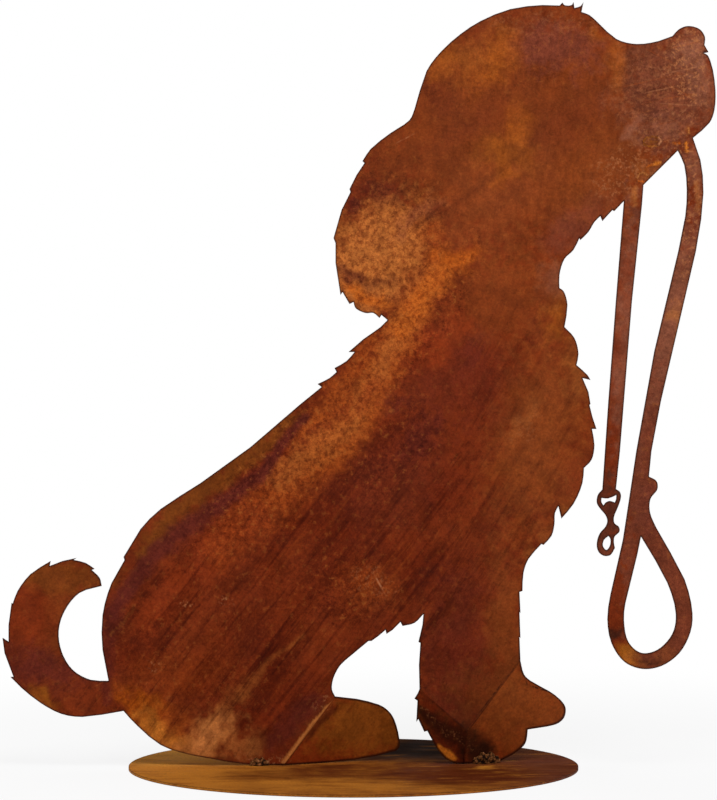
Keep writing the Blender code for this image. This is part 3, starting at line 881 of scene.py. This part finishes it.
def brushed_streaks(make, colour, place, fray):
    """Parallel brush marks, each area with its own direction: dark lines, light lines and flecks."""
    for centre, size, area_angle, angle, dark, light in BRUSHED:
        here = make.patch(place, centre, size, area_angle, AREA_SOFTNESS, fray)
        dark_here = make.math("MULTIPLY", here, dark)
        light_here = make.math("MULTIPLY", here, light)
        for shape, detail, roughness, dark_marks, light_marks in BRUSH_MARKS:
            marks = make.noise(make.stretch(place, centre, angle, shape), 1, detail, roughness)
            if dark_marks:
                start, end, share = dark_marks
                lines = make.ramp(marks, start, end, 0, share)
                colour = make.darker(colour, make.math("MULTIPLY", lines, dark_here))
            if light_marks:
                start, end, share, tint = light_marks
                lines = make.ramp(marks, start, end, 0, share)
                colour = make.mix(make.math("MULTIPLY", lines, light_here), colour, tint)
    return colour


def mottling(make, colour, place, mottled):
    """Dark spots, dark worm marks and tan clearings, as strong as the sheet's mottle says."""
    spots = make.noise(place, *SPOTS)
    worms = make.noise(place, *WORMS)
    colour = make.darker(colour, make.math("MULTIPLY", make.ramp(spots, *DARK_SPOTS), mottled))
    colour = make.darker(colour, make.math("MULTIPLY", make.ramp(worms, *DARK_WORMS), mottled))
    clearings = make.math("MULTIPLY", make.ramp(spots, *CLEARINGS), mottled)
    return make.mix(clearings, colour, TAN)


def rust_sheet():
    """The sheet's rust, with some painted light and shade: broad and small patches, brushed streaks,
    mottling, speckles and grain.
    """
    make = Shader("rusted_sheet_look")
    place = make.vector("SCALE", make.vector("SUBTRACT", make.object_place, (0, 0, SHEET_LOW.z)),
                        scale=1 / UNIT)
    blotch = make.noise(place, *BLOTCHES)
    fray = make.math("MULTIPLY", make.math("SUBTRACT", blotch, 0.5), SHADER_FRAY)
    colour = make.attribute("paint", "Color")
    swell = make.ramp(make.noise(place, *SWELLS), *SWELL_LEVELS)
    colour = make.vector("MULTIPLY", colour, grey(make, swell))
    colour = brushed_streaks(make, colour, place, fray)
    mottled = make.attribute("mottle", "Fac")
    colour = mottling(make, colour, place, mottled)
    crumbs = make.ramp(make.noise(place, *CRUMBS), *PALE_CRUMBS)
    specks = make.math("MULTIPLY", crumbs, make.attribute("flecks", "Fac"))
    colour = make.mix(specks, colour, FLECK)
    shade = make.ramp(make.noise(place, *SHADES), *SHADE_LEVELS)
    depth = make.math("ADD", make.math("MULTIPLY", mottled, MOTTLE_SHADE), LEAST_SHADE)
    colour = make.mix(depth, colour, make.vector("MULTIPLY", colour, grey(make, shade)))
    breaks = make.ramp(make.noise(place, *BREAKS), *BREAK_LEVELS)
    colour = make.strokes(colour, place, THIN_LINES, breaks)
    edge = make.ramp(make.attribute("from_edge", "Fac"), *EDGE_DARKNESS)
    colour = make.mix(edge, colour, DARK_EDGE)
    finish(make, colour, place, make.noise(place, *SHEET_GRAIN))
    return make.material


def grey(make, value):
    """One number as a grey colour."""
    node = make.add("ShaderNodeCombineXYZ")
    for socket in node.inputs:
        make.feed(socket, value)
    return node.outputs[0]


def finish(make, colour, place, grain, relief=FINE_BUMP):
    """Rough and slightly uneven, as rust is."""
    make.feed(make.surface.inputs["Base Color"], colour)
    patchy = make.noise(place, *GLOSS_PATCHES)
    make.feed(make.surface.inputs["Roughness"], make.ramp(patchy, *ROUGHNESS_LEVELS))
    make.surface.inputs["Metallic"].default_value = 0.0
    make.surface.inputs["Specular IOR Level"].default_value = RUST_SHINE
    bump = make.add("ShaderNodeBump")
    bump.inputs["Strength"].default_value = BUMP_STRENGTH
    bump.inputs["Distance"].default_value = relief
    make.feed(bump.inputs["Height"], grain)
    make.feed(make.surface.inputs["Normal"], bump.outputs["Normal"])


def rust_plate():
    """The plate's rust, with painted light at its back left and a painted shadow behind the sheet:
    ochre and brown, streaked across, with a dark rim.
    """
    make = Shader("rusted_plate_look")
    swing = make.add("ShaderNodeMapping", vector_type="POINT")
    make.feed(swing.inputs["Vector"], make.object_place)
    swing.inputs["Rotation"].default_value = (math.pi / 2, 0, 0)
    swing.inputs["Scale"].default_value = (1 / UNIT, 1 / UNIT, 1 / UNIT)
    place = swing.outputs["Vector"]
    wander = make.vector("SUBTRACT", make.noise(place, *PLATE_WANDER, "Color"), (0.5, 0.5, 0.5))
    ragged = make.vector("ADD", place, make.vector("SCALE", wander, scale=PLATE_RAGGED))
    tones = make.ramp(make.noise(place, *PLATE_TONES), *PLATE_TONE_LEVELS)
    colour = make.mix(tones, PLATE_OCHRE, PLATE_BROWN)
    colour = make.paint(colour, ragged, PLATE_PATCHES)
    stretched = make.stretch(place, (0, 0), PLATE_STREAK_ANGLE, PLATE_STREAK)
    streaks = make.noise(stretched, *PLATE_STREAKS)
    colour = make.darker(colour, make.ramp(streaks, *DARK_PLATE_STREAKS))
    colour = make.mix(make.ramp(streaks, *GOLD_PLATE_STREAKS), colour, PLATE_GOLD)
    grain = make.noise(place, *PLATE_GRAIN)
    shade = make.ramp(grain, *PLATE_SHADES)
    colour = make.vector("MULTIPLY", colour, grey(make, shade))
    finish(make, darken_rim(make, colour), place, grain)
    return make.material


def darken_rim(make, colour):
    """A dark line along the plate's edges."""
    bevel = make.add("ShaderNodeBevel", samples=RIM_SAMPLES)
    bevel.inputs["Radius"].default_value = RIM_LINE
    facing = make.vector("DOT_PRODUCT", bevel.outputs["Normal"],
                         make.add("ShaderNodeNewGeometry").outputs["True Normal"])
    return make.mix(make.ramp(facing, *RIM_LEVELS), colour, DARK_EDGE)


def rust_weld():
    """A weld's rust: near black in the dips, olive brown and pale on the lumps."""
    make = Shader("rusted_weld_look")
    place = make.vector("SCALE", make.object_place, scale=1 / UNIT)
    grain = make.noise(place, *WELD_GRAIN)
    lump = make.math("ADD", make.attribute("lump", "Fac"), make.ramp(grain, *WELD_GRAIN_LEVELS))
    colour = make.mix(make.ramp(lump, *WELD_BROWNS), NEAR_BLACK, WELD_BROWN)
    colour = make.mix(make.ramp(lump, *WELD_TOPS), colour, PALE_FLECK)
    finish(make, colour, place, grain, relief=WELD_BUMP)
    return make.material


def solid_mesh(node):
    """A CAD node's solid as a fine, even mesh."""
    rough = bpy.data.objects.new(node + "_rough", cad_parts[node].data.copy())
    bpy.context.scene.collection.objects.link(rough)
    remesh = rough.modifiers.new("remesh", "REMESH")
    remesh.mode = "VOXEL"
    remesh.voxel_size = WELD_STEP
    graph = bpy.context.evaluated_depsgraph_get()
    mesh = bpy.data.meshes.new_from_object(rough.evaluated_get(graph))
    bpy.data.objects.remove(rough)
    return mesh


def weld_height(place):
    """How high a weld's skin stands: 1 on a lump, about 0 in the dips."""
    near = noise.voronoi(place / WELD_LUMP)[0][0]
    grit = noise.fractal(place / WELD_GRIT, *WELD_FRACTAL)
    return max(0.0, 1 - WELD_ROUNDNESS * near * near) + WELD_GRIT_SHARE * grit


def make_weld(node, material):
    """A tack weld as a crowd of small lumps, within the CAD weld's own skin."""
    low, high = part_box(node)
    mesh = solid_mesh(node)
    bm = bmesh.new()
    bm.from_mesh(mesh)
    bm.normal_update()
    lumps = []
    for vert in bm.verts:
        height = weld_height(vert.co)
        lumps.append(height)
        vert.co -= vert.normal * WELD_DIP * (1 - min(1.0, height))
        for axis in range(3):
            vert.co[axis] = min(high[axis], max(low[axis], vert.co[axis]))
    bm.to_mesh(mesh)
    bm.free()
    mesh.name = node + "_lumps"
    store(mesh, "lump", lumps)
    mesh.shade_smooth()
    mesh.materials.clear()
    mesh.materials.append(material)
    piece = bpy.data.objects.new(node + "_lumps", mesh)
    bpy.context.scene.collection.objects.link(piece)
    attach(piece, "root")
    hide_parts(node)


def dress(node, material):
    """A CAD node keeps its mesh, and takes its look."""
    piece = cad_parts[node]
    piece.data.materials.clear()
    piece.data.materials.append(material)


def make_camera():
    """The photograph's view: level, square to the sheet, and one pixel to a drawn unit."""
    data = bpy.data.cameras.new("camera")
    data.sensor_fit = "HORIZONTAL"
    data.sensor_width = SENSOR_WIDTH
    data.lens = SENSOR_WIDTH * CAMERA_DISTANCE / PHOTO_WIDTH
    camera = bpy.data.objects.new("camera", data)
    camera.location = drawn(CAMERA_X, CAMERA_Z, CAMERA_DISTANCE * UNIT)
    camera.rotation_euler = (math.pi / 2, 0, 0)
    bpy.context.scene.collection.objects.link(camera)
    bpy.context.scene.camera = camera


def make_light(name, place, size, watts, aim):
    """A soft rectangular light, turned towards the place that it aims at."""
    data = bpy.data.lights.new(name, "AREA")
    data.shape = "RECTANGLE"
    data.size, data.size_y = size
    data.energy = watts
    light = bpy.data.objects.new(name, data)
    light.location = place
    light.rotation_euler = (Vector(aim) - Vector(place)).to_track_quat("-Z", "Y").to_euler()
    bpy.context.scene.collection.objects.link(light)


def make_floor():
    """A plain pale floor that fades into the backdrop."""
    bpy.ops.mesh.primitive_circle_add(vertices=FLOOR_SIDES, radius=FLOOR_RADIUS, fill_type="NGON")
    floor = bpy.context.object
    floor.name = "floor"
    make = Shader("floor_look")
    glow = make.add("ShaderNodeEmission")
    glow.inputs["Color"].default_value = BACKDROP
    blend = make.add("ShaderNodeMixShader")
    away = make.ramp(make.vector("LENGTH", make.object_place), *FLOOR_FADE, FLOOR_GLOW, 1.0)
    make.feed(blend.inputs["Fac"], away)
    make.surface.inputs["Base Color"].default_value = FLOOR_GREY
    make.surface.inputs["Roughness"].default_value = 0.9
    make.feed(blend.inputs[1], make.surface.outputs[0])
    make.feed(blend.inputs[2], glow.outputs[0])
    make.feed(make.tree.nodes["Material Output"].inputs["Surface"], blend.outputs[0])
    floor.data.materials.append(make.material)


def make_backdrop():
    """A plain pale backdrop to the camera, and a faint even light to everything else."""
    world = bpy.context.scene.world or bpy.data.worlds.new("world")
    bpy.context.scene.world = world
    world.use_nodes = True
    tree = world.node_tree
    back = tree.nodes["Background"]
    seen = tree.nodes.new("ShaderNodeLightPath").outputs["Is Camera Ray"]
    level = tree.nodes.new("ShaderNodeMapRange")
    level.inputs["To Min"].default_value = AMBIENT
    level.inputs["To Max"].default_value = BACKDROP[0]
    tree.links.new(seen, level.inputs["Value"])
    tree.links.new(level.outputs["Result"], back.inputs["Strength"])
    back.inputs["Color"].default_value = BACKDROP


noise.seed_set(NOISE_SEED)
make_camera()
make_floor()
make_backdrop()
for light in LIGHTS:
    make_light(*light)

make_sheet()
dress("base_plate", rust_plate())
WELD = rust_weld()
make_weld("weld_rump", WELD)
make_weld("weld_front_foot", WELD)
bpy.context.scene.view_settings.view_transform = "Standard"
